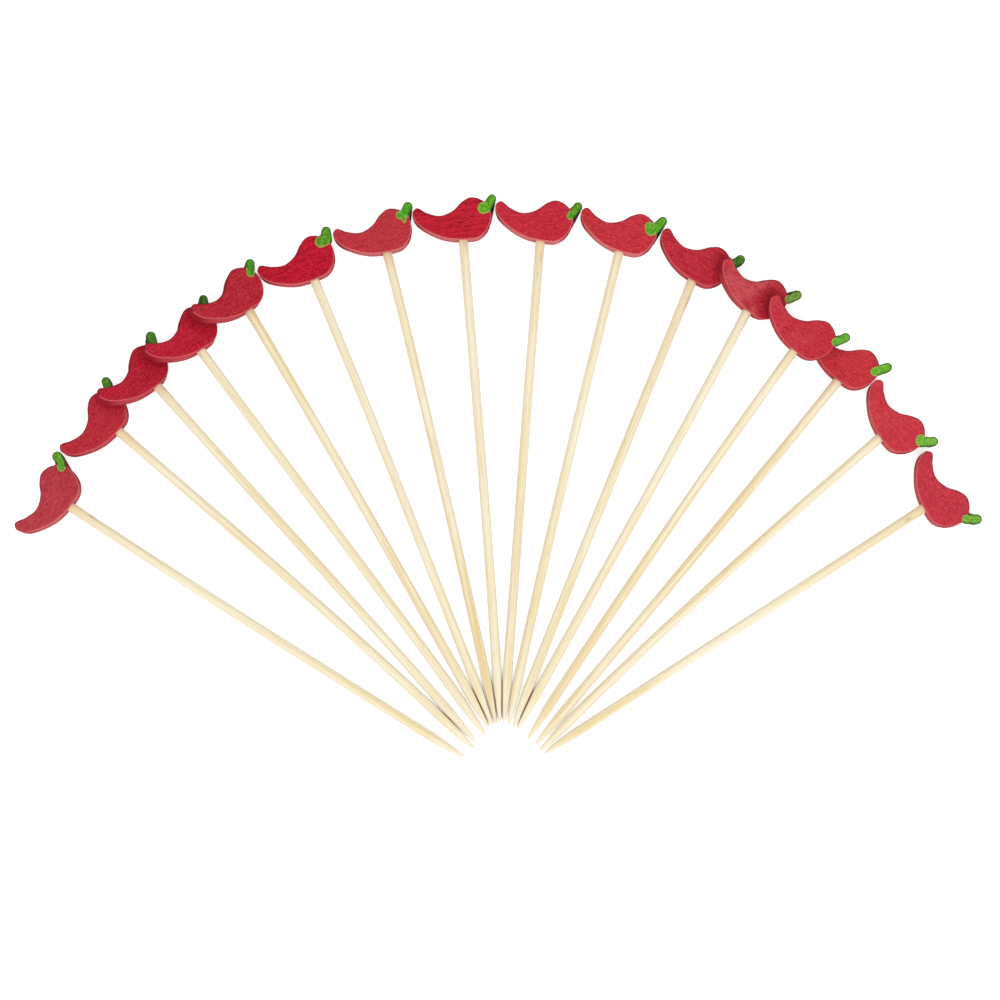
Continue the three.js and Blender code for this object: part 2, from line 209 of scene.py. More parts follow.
def between(term, low, high, value):
    # 0 below low, 1 above high and smooth between them
    settings = {"interpolation_type": "SMOOTHSTEP"}
    return term.add("ShaderNodeMapRange", settings, {"Value": value, "From Min": low, "From Max": high})


def mixed(term, share, first, second, blend="MIX"):
    settings = {"data_type": "RGBA", "blend_type": blend, "clamp_factor": True}
    return term.add("ShaderNodeMix", settings, {0: share, 6: first, 7: second}, 2)


def stretched(term, place, scales):
    return term.add("ShaderNodeVectorMath", {"operation": "MULTIPLY"}, {0: place, 1: scales})


def cloudy(term, place, scales, detail, roughness, distortion=0.0):
    inputs = {"Vector": stretched(term, place, scales), "Scale": 1.0, "Detail": detail}
    return term.add("ShaderNodeTexNoise", {}, {**inputs, "Roughness": roughness, "Distortion": distortion})


def newMaterial(name):
    material = bpy.data.materials.new(name)
    material.use_nodes = True
    tree = material.node_tree
    tree.nodes.clear()
    return material, Term(tree)


def finished(term, colour, roughness, height, finish):
    # links what varies to a Principled shader and sets the rest on its own sockets
    bump = term.add("ShaderNodeBump", {}, {"Strength": 1.0, "Distance": finish["bump"], "Height": height})
    inputs = {"Base Color": colour, "Roughness": roughness, "Normal": bump}
    surface = term.add("ShaderNodeBsdfPrincipled", {}, {**inputs, "Specular IOR Level": finish["specular"]})
    term.add("ShaderNodeOutputMaterial", {}, {"Surface": surface})


def ownAttribute(term, name, output="Fac"):
    return term.add("ShaderNodeAttribute", {"attribute_name": name}, {}, output)


def coloursOf(finish):
    return {name: asSeen(*value) for name, value in finish["colours"].items()}


def patternsOf(term, finish):
    # a finish's patterns, in their order, as noise on the piece's own place
    place = ownAttribute(term, "ownPlace", "Vector")
    return [cloudy(term, place, *settings) for settings in finish["patterns"].values()]


# Finishes. A pattern is given as its scales along x, y and z, its detail, its roughness and its distortion.

woodFinish = {
    "colours": {
        "shade": (166, 72, 94),  # what dark grain multiplies the dye by
        "fleck": (226, 104, 108),
        "bare": (234, 110, 114),
        "paintedRedShade": (184, 0, 36),  # painted shade and red bounce light, beside a chilli that lies on this one
        "longWall": (198, 70, 80),
        "lowWall": (184, 58, 70),
        # painted light on the walls
        "paintedLitWall": (228, 146, 146),
        # darker on end-grain walls, and painted shade on walls that point up the chilli
        "endGrainAndShadeWall": (160, 24, 44),
        "paintedFloorShade": (88, 36, 50),  # painted shade next to the floor
        "litRim": (232, 134, 136),
        # painted shade on the rims that point up the chilli
        "paintedShadeRim": (74, 12, 34),
        "paintedNotchShade": (38, 12, 22),  # painted shade in the corner under the stub
        "stub": (72, 60, 30),
    },
    "patterns": {
        "wavy": ((0.09, 2.3, 0.6), 3, 0.55, 0.35),
        "threads": ((0.5, 4.4, 3.0), 2, 0.6, 0.2),
        "weave": ((1.5, 3.4, 2.4), 2, 0.6),
        "speckle": ((4.6, 4.6, 4.6), 2, 0.6),
        "mottle": ((0.4, 0.4, 0.4), 2, 0.5),
        "layers": ((0.3, 0.3, 3.2), 2, 0.6),
    },
    "bump": 0.00005,  # in metres
    "specular": 0.1,
}


def dyedWood():
    material, term = newMaterial("dyedRedWood")
    colours = coloursOf(woodFinish)
    wavy, threads, weave, speckle, mottle, layers = patternsOf(term, woodFinish)
    streaks = ownAttribute(term, "streaks")
    paintedWallLight = ownAttribute(term, "pale")
    colour = ownAttribute(term, "dye", "Color")
    bareness = ownAttribute(term, "bare") * between(term, 0.3, 0.62, mottle)
    colour = mixed(term, bareness, colour, colours["bare"])
    # painted shade and red bounce light where a neighbouring chilli lies on this one
    colour = mixed(term, ownAttribute(term, "paintedRedShade") * 0.72, colour, colours["paintedRedShade"])
    shaded = between(term, 0.46, 0.64, wavy) * streaks * 0.42
    shaded = shaded + between(term, 0.4, 0.68, threads) * (0.34 + streaks * 0.16)
    shaded = shaded + between(term, 0.38, 0.68, weave) * 0.22 + between(term, 0.4, 0.66, speckle) * 0.13
    colour = mixed(term, shaded, colour, colours["shade"], "MULTIPLY")
    flecks = between(term, 0.5, 0.66, 1.0 - weave) * 0.16 + between(term, 0.52, 0.68, 1.0 - speckle) * 0.2
    colour = mixed(term, flecks * (1.1 - streaks * 0.5), colour, colours["fleck"])
    sides = mixed(term, between(term, 0.35, 0.65, layers), colours["longWall"], colours["lowWall"])
    # painted light on the walls, as strong as the pick's pale value
    sides = mixed(term, paintedWallLight * 0.66, sides, colours["paintedLitWall"])
    # darker on end grain, and painted shade on walls that point up the chilli
    sides = mixed(term, ownAttribute(term, "endGrainAndShade"), sides, colours["endGrainAndShadeWall"])
    sides = mixed(term, ownAttribute(term, "paintedFloorShade") * 0.85, sides, colours["paintedFloorShade"])
    colour = mixed(term, ownAttribute(term, "wall") * 0.9, colour, sides)
    rimShare = ownAttribute(term, "litRim") * (0.38 + paintedWallLight * 0.32)
    colour = mixed(term, rimShare, colour, colours["litRim"])
    # painted shade on the rims that point up the chilli
    colour = mixed(term, ownAttribute(term, "paintedShadeRim") * 0.95, colour, colours["paintedShadeRim"])
    colour = mixed(term, ownAttribute(term, "stubShare") * 0.9, colour, colours["stub"])
    colour = mixed(term, ownAttribute(term, "paintedNotchShade"), colour, colours["paintedNotchShade"])
    roughness = 0.78 + speckle * 0.15
    height = threads * 0.6 + weave * 0.4 + speckle * 0.3
    finished(term, colour, roughness, height, woodFinish)
    return material


bambooFinish = {
    "colours": {
        "cream": (254, 246, 220),
        "straw": (248, 231, 182),
        "honey": (236, 204, 128),
        "vessel": (216, 184, 128),
        "pink": (251, 228, 202),
        # painted shade on the skewer's sides
        "paintedFlankShade": (244, 238, 218),
        "brown": (160, 106, 64),
        "touch": (148, 100, 46),  # painted shade where skewers lie against each other
        "neck": (240, 206, 146),  # near the chilli
    },
    "patterns": {
        "broad": ((0.9, 0.02, 0.9), 2, 0.5),
        "strands": ((3.4, 0.05, 3.4), 2, 0.6),
        "vessels": ((9.0, 0.16, 9.0), 2, 0.6),
        "blush": ((1.4, 0.035, 1.4), 1, 0.5),
        "grain": ((9.0, 1.8, 9.0), 2, 0.6),
    },
    "bump": 0.00004,
    "specular": 0.35,
}


def splitBamboo():
    material, term = newMaterial("splitBamboo")
    colours = coloursOf(bambooFinish)
    broad, strands, vessels, blush, grain = patternsOf(term, bambooFinish)
    colour = mixed(term, between(term, 0.42, 0.64, strands) * 0.85, colours["cream"], colours["straw"])
    yellow = between(term, 0.4, 0.6, broad) * ownAttribute(term, "yellow")
    colour = mixed(term, yellow, colour, colours["honey"])
    colour = mixed(term, between(term, 0.5, 0.68, blush) * 0.45, colour, colours["pink"])
    lines = between(term, 0.58, 0.72, vessels)
    colour = mixed(term, lines * 0.5, colour, colours["vessel"])
    colour = mixed(term, ownAttribute(term, "paintedFlankShade") * 0.55, colour, colours["paintedFlankShade"])
    colour = mixed(term, ownAttribute(term, "neck") * 0.4, colour, colours["neck"])
    colour = mixed(term, ownAttribute(term, "tip") * 0.6, colour, colours["cream"])
    blotch = ownAttribute(term, "mark") * between(term, 0.3, 0.6, grain)
    colour = mixed(term, blotch, colour, colours["brown"])
    colour = mixed(term, ownAttribute(term, "touch"), colour, colours["touch"])
    roughness = 0.5 + grain * 0.25 + lines * 0.1
    height = vessels * 0.8 + grain * 0.4
    finished(term, colour, roughness, height, bambooFinish)
    return material


paintFinish = {
    "colours": {
        "thick": (176, 226, 96),
        "thin": (150, 190, 120),  # what thin paint multiplies the green by
        "edge": (44, 84, 14),
        "fringe": (190, 164, 96),  # where the stroke ends on the red face
        # painted shade where the paint runs down the stub's sides
        "side": (44, 66, 24),
    },
    "patterns": {
        "puddle": ((1.6, 1.6, 1.6), 2, 0.5),
        "bristle": ((1.0, 4.5, 3.0), 2, 0.6, 0.3),
        "grit": ((4.0, 4.0, 4.0), 3, 0.6),
    },
    "bump": 0.00006,
    "specular": 0.2,
}


def brushedPaint():
    material, term = newMaterial("brushedGreenPaint")
    colours = coloursOf(paintFinish)
    puddle, bristle, grit = patternsOf(term, paintFinish)
    green = ownAttribute(term, "green", "Color")
    colour = mixed(term, between(term, 0.45, 0.65, puddle) * 0.32, green, colours["thick"])
    thinned = between(term, 0.46, 0.66, bristle) * 0.5 + between(term, 0.46, 0.62, grit) * 0.7
    colour = mixed(term, thinned, colour, colours["thin"], "MULTIPLY")
    colour = mixed(term, ownAttribute(term, "edge") * 0.85, colour, colours["edge"])
    # painted shade on the paint's sides
    colour = mixed(term, ownAttribute(term, "side") * 0.75, colour, colours["side"])
    fringe = ownAttribute(term, "fringe") * between(term, 0.25, 0.55, grit)
    colour = mixed(term, fringe * 0.85, colour, colours["fringe"])
    roughness = 0.5 + grit * 0.2
    height = bristle * 0.8 + grit * 0.35
    finished(term, colour, roughness, height, paintFinish)
    return material


finishes = {"wood": dyedWood(), "bamboo": splitBamboo(), "paint": brushedPaint()}
print("finishes made:", len(finishes))


# Where each pick lies


def cornersOf(mesh):
    corners = np.zeros(len(mesh.vertices) * 3)
    mesh.vertices.foreach_get("co", corners)
    return corners.reshape(-1, 3)


def pickPlace(number):
    # the matrix from a pick's own frame, in millimetres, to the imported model, in metres
    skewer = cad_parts[f"pick_{number:02d}_skewer"].data
    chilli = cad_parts[f"pick_{number:02d}_chilli"].data
    corners = np.unique(cornersOf(skewer).round(7), axis=0)
    middle = corners.mean(axis=0)
    way = np.linalg.svd(corners - middle)[2][0]
    towardsChilli = cornersOf(chilli).mean(axis=0) - middle
    way = Vector(way * np.sign(way @ towardsChilli)).normalized()
    point = Vector(middle) + way * ((corners - middle) @ np.array(way)).min()
    face = max(chilli.polygons, key=lambda polygon: polygon.area).normal.copy()
    face = face if face.z > 0 else -face
    out = (face - way * face.dot(way)).normalized()
    aside = way.cross(out)
    turned = Matrix((aside, way, out)).transposed().to_4x4()
    return Matrix.Translation(point) @ turned @ Matrix.Scale(millimetre, 4)


# Mesh helpers


def evaluated(mesh, modifiers):
    # a mesh after some modifiers, each given as its type and its settings
    holder = bpy.data.objects.new("holder", mesh)
    bpy.context.scene.collection.objects.link(holder)
    for kind, settings in modifiers:
        modifier = holder.modifiers.new(kind.lower(), kind)
        for name, value in settings.items():
            setattr(modifier, name, value)
    result = bpy.data.meshes.new_from_object(holder.evaluated_get(bpy.context.evaluated_depsgraph_get()))
    bpy.data.objects.remove(holder)
    return result


def outlineOf(points, steps):
    # a closed line through the points as evenly spaced corners
    along = np.concatenate([points, points[:1]])
    length = np.concatenate([[0], np.cumsum(np.linalg.norm(np.diff(along, axis=0), axis=1))])
    wanted = np.linspace(0, length[-1], steps, endpoint=False)
    return np.stack([np.interp(wanted, length, along[:, axis]) for axis in (0, 1)], axis=1)


def smoothLoop(corners, steps, stepsPerSpan=24):
    # a closed centripetal Catmull-Rom curve through the corners
    fine = []
    for k in range(len(corners)):
        p = [corners[(k + shift) % len(corners)] for shift in (-1, 0, 1, 2)]
        t = [0.0]
        for first, second in zip(p, p[1:]):
            t.append(t[-1] + np.linalg.norm(second - first) ** 0.5)
        for u in np.linspace(t[1], t[2], stepsPerSpan, endpoint=False):
            a = [((t[i + 1] - u) * p[i] + (u - t[i]) * p[i + 1]) / (t[i + 1] - t[i]) for i in range(3)]
            b = [((t[i + 2] - u) * a[i] + (u - t[i]) * a[i + 1]) / (t[i + 2] - t[i]) for i in range(2)]
            fine.append(((t[2] - u) * b[0] + (u - t[1]) * b[1]) / (t[2] - t[1]))
    return outlineOf(np.array(fine), steps)


def strokeLoop(start, startRadius, end, endRadius, steps=20):
    # the outline round two circles, counter-clockwise
    along = np.subtract(end, start)
    heading = math.atan2(along[1], along[0])
    quarter = math.pi / 2 - math.asin((startRadius - endRadius) / np.linalg.norm(along))
    points = []
    for centre, radius, first, last in (
        (end, endRadius, heading - quarter, heading + quarter),
        (start, startRadius, heading + quarter, heading + 2 * math.pi - quarter),
    ):
        for angle in np.linspace(first, last, steps):
            points.append((centre[0] + radius * math.cos(angle), centre[1] + radius * math.sin(angle)))
    return np.array(points)


def roundedSlab(outline, low, high, radius, segments=4):
    # corners and faces of a flat piece with rounded edges; the outline runs counter-clockwise
    ahead = np.roll(outline, -1, axis=0) - np.roll(outline, 1, axis=0)
    outward = np.stack([ahead[:, 1], -ahead[:, 0]], axis=1)
    outward /= np.linalg.norm(outward, axis=1)[:, None]
    rings = []
    for k in range(segments + 1):
        angle = math.pi / 2 * k / segments
        rings.append((radius * (1 - math.sin(angle)), radius * (1 - math.cos(angle))))
    levels = [(inset, low + rise) for inset, rise in rings]
    levels += [(inset, high - rise) for inset, rise in reversed(rings)]
    count = len(outline)
    corners = []
    for inset, height in levels:
        corners += [(x, y, height) for x, y in outline - outward * inset]
    faces = [tuple(reversed(range(count))), tuple(range((len(levels) - 1) * count, len(levels) * count))]
    for level in range(len(levels) - 1):
        for k in range(count):
            after = (k + 1) % count
            first = level * count
            faces.append((first + k, first + after, first + count + after, first + count + k))
    return corners, faces


def meshOf(name, *parts):
    # one mesh from several lists of corners and faces
    corners, faces = [], []
    for partCorners, partFaces in parts:
        start = len(corners)
        corners += list(partCorners)
        faces += [tuple(start + k for k in face) for face in partFaces]
    mesh = bpy.data.meshes.new(name)
    mesh.from_pydata(corners, [], faces)
    return mesh


def partOf(mesh):
    return [tuple(v.co) for v in mesh.vertices], [tuple(p.vertices) for p in mesh.polygons]


def setValues(mesh, name, values):
    values = np.asarray(values, np.float32)
    kind = "FLOAT_VECTOR" if values.ndim == 2 else "FLOAT"
    attribute = mesh.attributes.get(name) or mesh.attributes.new(name, kind, "POINT")
    attribute.data.foreach_set("vector" if values.ndim == 2 else "value", values.ravel())


def normalsOf(mesh):
    normals = np.zeros(len(mesh.vertices) * 3)
    mesh.vertex_normals.foreach_get("vector", normals)
    return normals.reshape(-1, 3)


def noiseAt(places, scales, seed):
    return np.array([noise.noise((x, y, z)) for x, y, z in places * np.array(scales) + seed])


def moved(mesh, corners):
    mesh.vertices.foreach_set("co", np.asarray(corners, np.float32).ravel())
    mesh.update()


def dressed(mesh, name, finish, node, matrix):
    # puts a finished mesh in its place as a piece that stands for a node
    mesh.transform(matrix)
    mesh.materials.clear()
    mesh.materials.append(finishes[finish])
    for polygon in mesh.polygons:
        polygon.use_smooth = True
    piece = bpy.data.objects.new(name, mesh)
    mesh.name = name
    bpy.context.scene.collection.objects.link(piece)
    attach(piece, "root")
    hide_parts(node)


# Chillies

chilliValues = {
    "reach": 112.6,  # from the point to the lower edge of the chilli, on the longest pick
    "length": 18.2,
    "height": 9.85,
    "thickness": 3.8,
    "curve": [  # the outline, as shares of the length and the height
        (0.12, 1), (0, 0.91), (-0.13, 0.72), (-0.3, 0.635), (-0.46, 0.735), (-0.585, 0.878), (-0.646, 0.77),
        (-0.612, 0.53), (-0.44, 0.25), (-0.24, 0.07), (0, 0), (0.17, 0.015), (0.29, 0.19), (0.355, 0.49),
        (0.335, 0.73), (0.25, 0.915),
    ],
    "steps": 180,
    "stubRoot": (5.2, 6.5),
    "webDrop": 0.5,
    "webFade": (3.8, 5.0),  # the painted shade on the web shows above these heights
    "edgeRound": 0.28,
    "holeRoof": 2.6,  # wood left between the hole and the upper edge
    "holeRoom": 0.14,
    "holeSides": 48,
    "voxel": 0.15,
    "grain": ((0.3, 2.6, 2.6), (0.9, 3.2, 3.2)),  # scales of coarse and fine grain
    "grainDepth": 0.022,
    "swell": (0.22, 0.3, 0.3),  # scales of the face's slow unevenness
    "swellDepth": 0.03,
    "saw": (1.9, 1.9, 0.25),  # scales of the saw marks on the walls
    "sawDepth": 0.03,
    "lapped": (2, 3, 4, 11, 12),  # picks that the next one lies on
    "paintedRedShadeReach": (0.2, 3.2),
    "seedStep": 17.3,  # keeps the shapes of two chillies apart
    "patternStep": 23.0,  # keeps their patterns apart
}
skewerValues = {
    "diameter": 2.2,
    "pointLength": 9,
    "pointDiameter": 0.5,
    "pointFullness": 0.62,  # 1 is a straight cone
    "endRoom": 0.1,  # between its end and the end of the hole
    "rings": 190,
    "crowding": 0.55,  # how much the rings crowd towards the point
    "sides": 56,
    "fibre": (2.6, 0.04, 2.6),  # scales of the fibres
    "knife": (0.7, 0.25, 0.7),  # scales of the cuts that shaped it
    "knifeShare": 0.6,
    "fibreDepth": 0.03,
    "neckLength": 7,  # how far below the chilli the colour is warmer
    "touchReach": (0.1, 0.5),
    "seedStep": 13.1,
}

chilliSize = (chilliValues["length"], chilliValues["height"])
chilliLoop = smoothLoop(np.array(chilliValues["curve"]) * chilliSize, chilliValues["steps"])


def onSkewer(pick):
    # the matrix from the chilli's own frame to the pick's
    shift = Matrix.Translation((pick["shift"], chilliValues["reach"] - pick["short"], 0))
    return shift @ Matrix.Rotation(math.radians(pick["turn"]), 4, "Z")


def holeEnd(pick):
    # how far from the point the hole reaches, under the chilli's upper edge
    placed = [onSkewer(pick) @ Vector((x, y, 0)) for x, y in chilliLoop]
    heights = [a.y for a, b in zip(placed, placed[1:] + placed[:1]) if (a.x < 0) != (b.x < 0)]
    return max(heights) - chilliValues["holeRoof"]


def holeMesh(pick):
    radius = skewerValues["diameter"] / 2 + chilliValues["holeRoom"]
    start = chilliValues["reach"] - pick["short"] - chilliValues["height"]
    end = holeEnd(pick)
    bm = bmesh.new()
    bmesh.ops.create_cone(bm, cap_ends=True, segments=chilliValues["holeSides"], radius1=radius, radius2=radius,
                          depth=end - start)
    middle = Matrix.Translation((pick["bow"][2], (start + end) / 2, 0))
    upright = middle @ Matrix.Rotation(math.pi / 2, 4, "X")
    bmesh.ops.transform(bm, matrix=onSkewer(pick).inverted() @ upright, verts=bm.verts)
    bmesh.ops.recalc_face_normals(bm, faces=bm.faces)
    mesh = bpy.data.meshes.new("hole")
    bm.to_mesh(mesh)
    bm.free()
    return mesh


def loopDepth(points, loop):
    # how far points lie inside a closed line, below 0 outside it
    inside = np.zeros(len(points), bool)
    nearest = np.full(len(points), 99.0)
    for first, second in zip(loop, np.roll(loop, -1, axis=0)):
        crosses = (first[1] > points[:, 1]) != (second[1] > points[:, 1])
        rise = second[1] - first[1]
        if rise:
            crossing = first[0] + (points[:, 1] - first[1]) * (second[0] - first[0]) / rise
            inside ^= crosses & (points[:, 0] < crossing)
        nearest = np.minimum(nearest, np.hypot(*(points - first).T))
    return np.where(inside, nearest, -nearest)


def strokeDepth(points, chain):
    # how far points lie inside a stroke, below 0 outside it
    depth = np.full(len(points), -99.0)
    for start, end in zip(chain, chain[1:]):
        along = np.subtract(end[:2], start[:2])
        share = np.clip((points - start[:2]) @ along / (along @ along), 0, 1)
        radius = start[2] + (end[2] - start[2]) * share
        away = np.hypot(*(points - start[:2] - share[:, None] * along).T)
        depth = np.maximum(depth, radius - away)
    return depth


def paintedRedShadeOf(number, points):
    # 1 on a face beside a chilli that lies on it, for the painted shade and red bounce light caught between
    # them
    if number not in chilliValues["lapped"]:
        return np.zeros(len(points))
    own = places[number - 1] @ onSkewer(picks[number - 1])
    across = np.array(own.inverted() @ places[number] @ onSkewer(picks[number]))
    over = np.concatenate([chilliLoop, np.full((len(chilliLoop), 1), chilliValues["thickness"] / 2)], axis=1)
    loop = (over @ across[:3, :3].T + across[:3, 3])[:, :2]
    return 1 - smoothStep(*chilliValues["paintedRedShadeReach"], -loopDepth(points, loop))


def chilliMesh(number, pick):
    half = chilliValues["thickness"] / 2
    edge = chilliValues["edgeRound"]
    root = chilliValues["stubRoot"]
    body = meshOf("body", roundedSlab(chilliLoop, -half, half, edge))
    drill = bpy.data.objects.new("drill", holeMesh(pick))
    bpy.context.scene.collection.objects.link(drill)
    drilled = evaluated(body, [("BOOLEAN", {"operation": "DIFFERENCE", "solver": "EXACT", "object": drill})])
    bpy.data.objects.remove(drill)
    x, y, radius = pick["stub"]
    pieces = [partOf(drilled), roundedSlab(strokeLoop(root, radius, (x, y), radius), -half, half, edge)]
    if pick["web"]:
        webX, webY, webRadius = pick["web"][:3]
        web = strokeLoop((webX, webY), webRadius, (x, y), radius)
        pieces.append(roundedSlab(web, -half, half - chilliValues["webDrop"], edge))
    whole = meshOf("chilli", *pieces)
    mesh = evaluated(whole, [("REMESH", {"mode": "VOXEL", "voxel_size": chilliValues["voxel"]})])
    corners, normals = cornersOf(mesh), normalsOf(mesh)
    seed = number * chilliValues["seedStep"]
    coarse, fine = chilliValues["grain"]
    facing = smoothStep(0.55, 0.95, np.abs(normals[:, 2]))
    grain = noiseAt(corners, coarse, seed) + 0.5 * noiseAt(corners, fine, seed + 5)
    swell = noiseAt(corners, chilliValues["swell"], seed + 9)
    saw = noiseAt(corners, chilliValues["saw"], seed + 13)
    depth = facing * (grain * chilliValues["grainDepth"] + swell * chilliValues["swellDepth"])
    depth += (1 - facing) * saw * chilliValues["sawDepth"]
    moved(mesh, corners + normals * depth[:, None])
    wall = 1 - smoothStep(0.25, 0.8, np.abs(normals[:, 2]))
    rim = smoothStep(0.15, 0.5, normals[:, 2]) * (1 - smoothStep(0.86, 0.99, normals[:, 2]))
    flat = corners[:, :2]
    offBody = -loopDepth(flat, chilliLoop)
    stubDepth = strokeDepth(flat, [(*root, radius), (x, y, radius)])
    # painted shade in the corner under the stub, on the web
    paintedNotchShade = smoothStep(0, 0.15, -stubDepth) * smoothStep(0.05, 0.2, offBody)
    paintedNotchShade *= smoothStep(*chilliValues["webFade"], corners[:, 1]) * (pick["web"][3] if pick["web"] else 0)
    setValues(mesh, "ownPlace", corners + (0, 0, number * chilliValues["patternStep"]))
    setValues(mesh, "wall", wall)
    # darker where walls are end grain, and painted shade on walls that point up the chilli
    setValues(mesh, "endGrainAndShade", smoothStep(0.45, 0.85, np.abs(normals[:, 0]) + 0.35 * (normals[:, 1] > 0)))
    setValues(mesh, "litRim", rim * (1 - smoothStep(-0.1, 0.2, normals[:, 1])))
    # painted shade on the rims of the face that point up the chilli
    setValues(mesh, "paintedShadeRim", rim * smoothStep(0, 0.3, normals[:, 1]))
    # painted shade on the walls next to the floor
    setValues(mesh, "paintedFloorShade", wall * (1 - smoothStep(-half + 0.1, -half + 0.9, corners[:, 2])))
    setValues(mesh, "stubShare", smoothStep(-0.3, 0, stubDepth) * smoothStep(0.1, 0.5, offBody))
    setValues(mesh, "paintedNotchShade", paintedNotchShade)
    setValues(mesh, "paintedRedShade", paintedRedShadeOf(number, flat))
    setValues(mesh, "streaks", np.full(len(corners), pick["streaks"]))
    # how much painted light the walls and lower rims get
    setValues(mesh, "pale", np.full(len(corners), pick["pale"]))
    setValues(mesh, "bare", pick["bare"] * (1 - smoothStep(-2, 4, corners[:, 0])))
    setValues(mesh, "dye", np.tile(asSeen(*pick["red"])[:3], (len(corners), 1)))
    return mesh


# Green paint

coatValues = {
    "thickness": 0.22,
    "drop": 1.0,  # how far it runs down the stub's sides
    "edgeRound": 0.1,
    "voxel": 0.07,
    "smoothing": 6,
    "bristle": (0.8, 4.5, 1.5),  # scales of the brush marks
    "lumps": (1.1, 1.4, 1.1),  # scales of the lumps in the paint
    "bristleDepth": 0.03,
    "seedStep": 7.7,
    "patternStep": 19.0,
}


def coatMesh(number, pick):
    face = chilliValues["thickness"] / 2
    low, high = face - coatValues["drop"], face + coatValues["thickness"]
    strokes = []
    for chain in pick["dabs"]:
        for (x1, y1, radius1), (x2, y2, radius2) in zip(chain, chain[1:]):
            loop = strokeLoop((x2, y2), radius2, (x1, y1), radius1)
            strokes.append(roundedSlab(loop, low, high, coatValues["edgeRound"], 3))
    whole = meshOf("coat", *strokes)
    remesh = ("REMESH", {"mode": "VOXEL", "voxel_size": coatValues["voxel"]})
    mesh = evaluated(whole, [remesh, ("SMOOTH", {"factor": 0.5, "iterations": coatValues["smoothing"]})])
    corners, normals = cornersOf(mesh), normalsOf(mesh)
    seed = number * coatValues["seedStep"]
    stubWay = np.subtract(pick["stub"][:2], chilliValues["stubRoot"])
    stubWay /= np.linalg.norm(stubWay)
    along = corners[:, :2] @ stubWay
    across = corners[:, :2] @ np.array([-stubWay[1], stubWay[0]])
    own = np.stack([along, across, corners[:, 2]], axis=1)
    bristle = noiseAt(own, coatValues["bristle"], seed) + 0.8 * noiseAt(own, coatValues["lumps"], seed + 3)
    upward = smoothStep(0.3, 0.9, normals[:, 2])
    moved(mesh, corners + normals * (bristle * upward * coatValues["bristleDepth"])[:, None])
    overBody = smoothStep(-0.1, 0.3, loopDepth(corners[:, :2], chilliLoop))
    depth = np.max([strokeDepth(corners[:, :2], chain) for chain in pick["dabs"]], axis=0)
    setValues(mesh, "ownPlace", own + (0, 0, number * coatValues["patternStep"]))
    # painted shade where the paint runs down the stub's sides
    setValues(mesh, "side", 1 - smoothStep(-0.4, 0.1, corners[:, 2] - face))
    setValues(mesh, "edge", (1 - overBody) * (1 - smoothStep(0.08, 0.5, depth)))
    setValues(mesh, "fringe", overBody * (1 - smoothStep(0.12, 0.42, depth)))
    setValues(mesh, "green", np.tile(asSeen(*pick["green"])[:3], (len(corners), 1)))
    return mesh


# Skewers


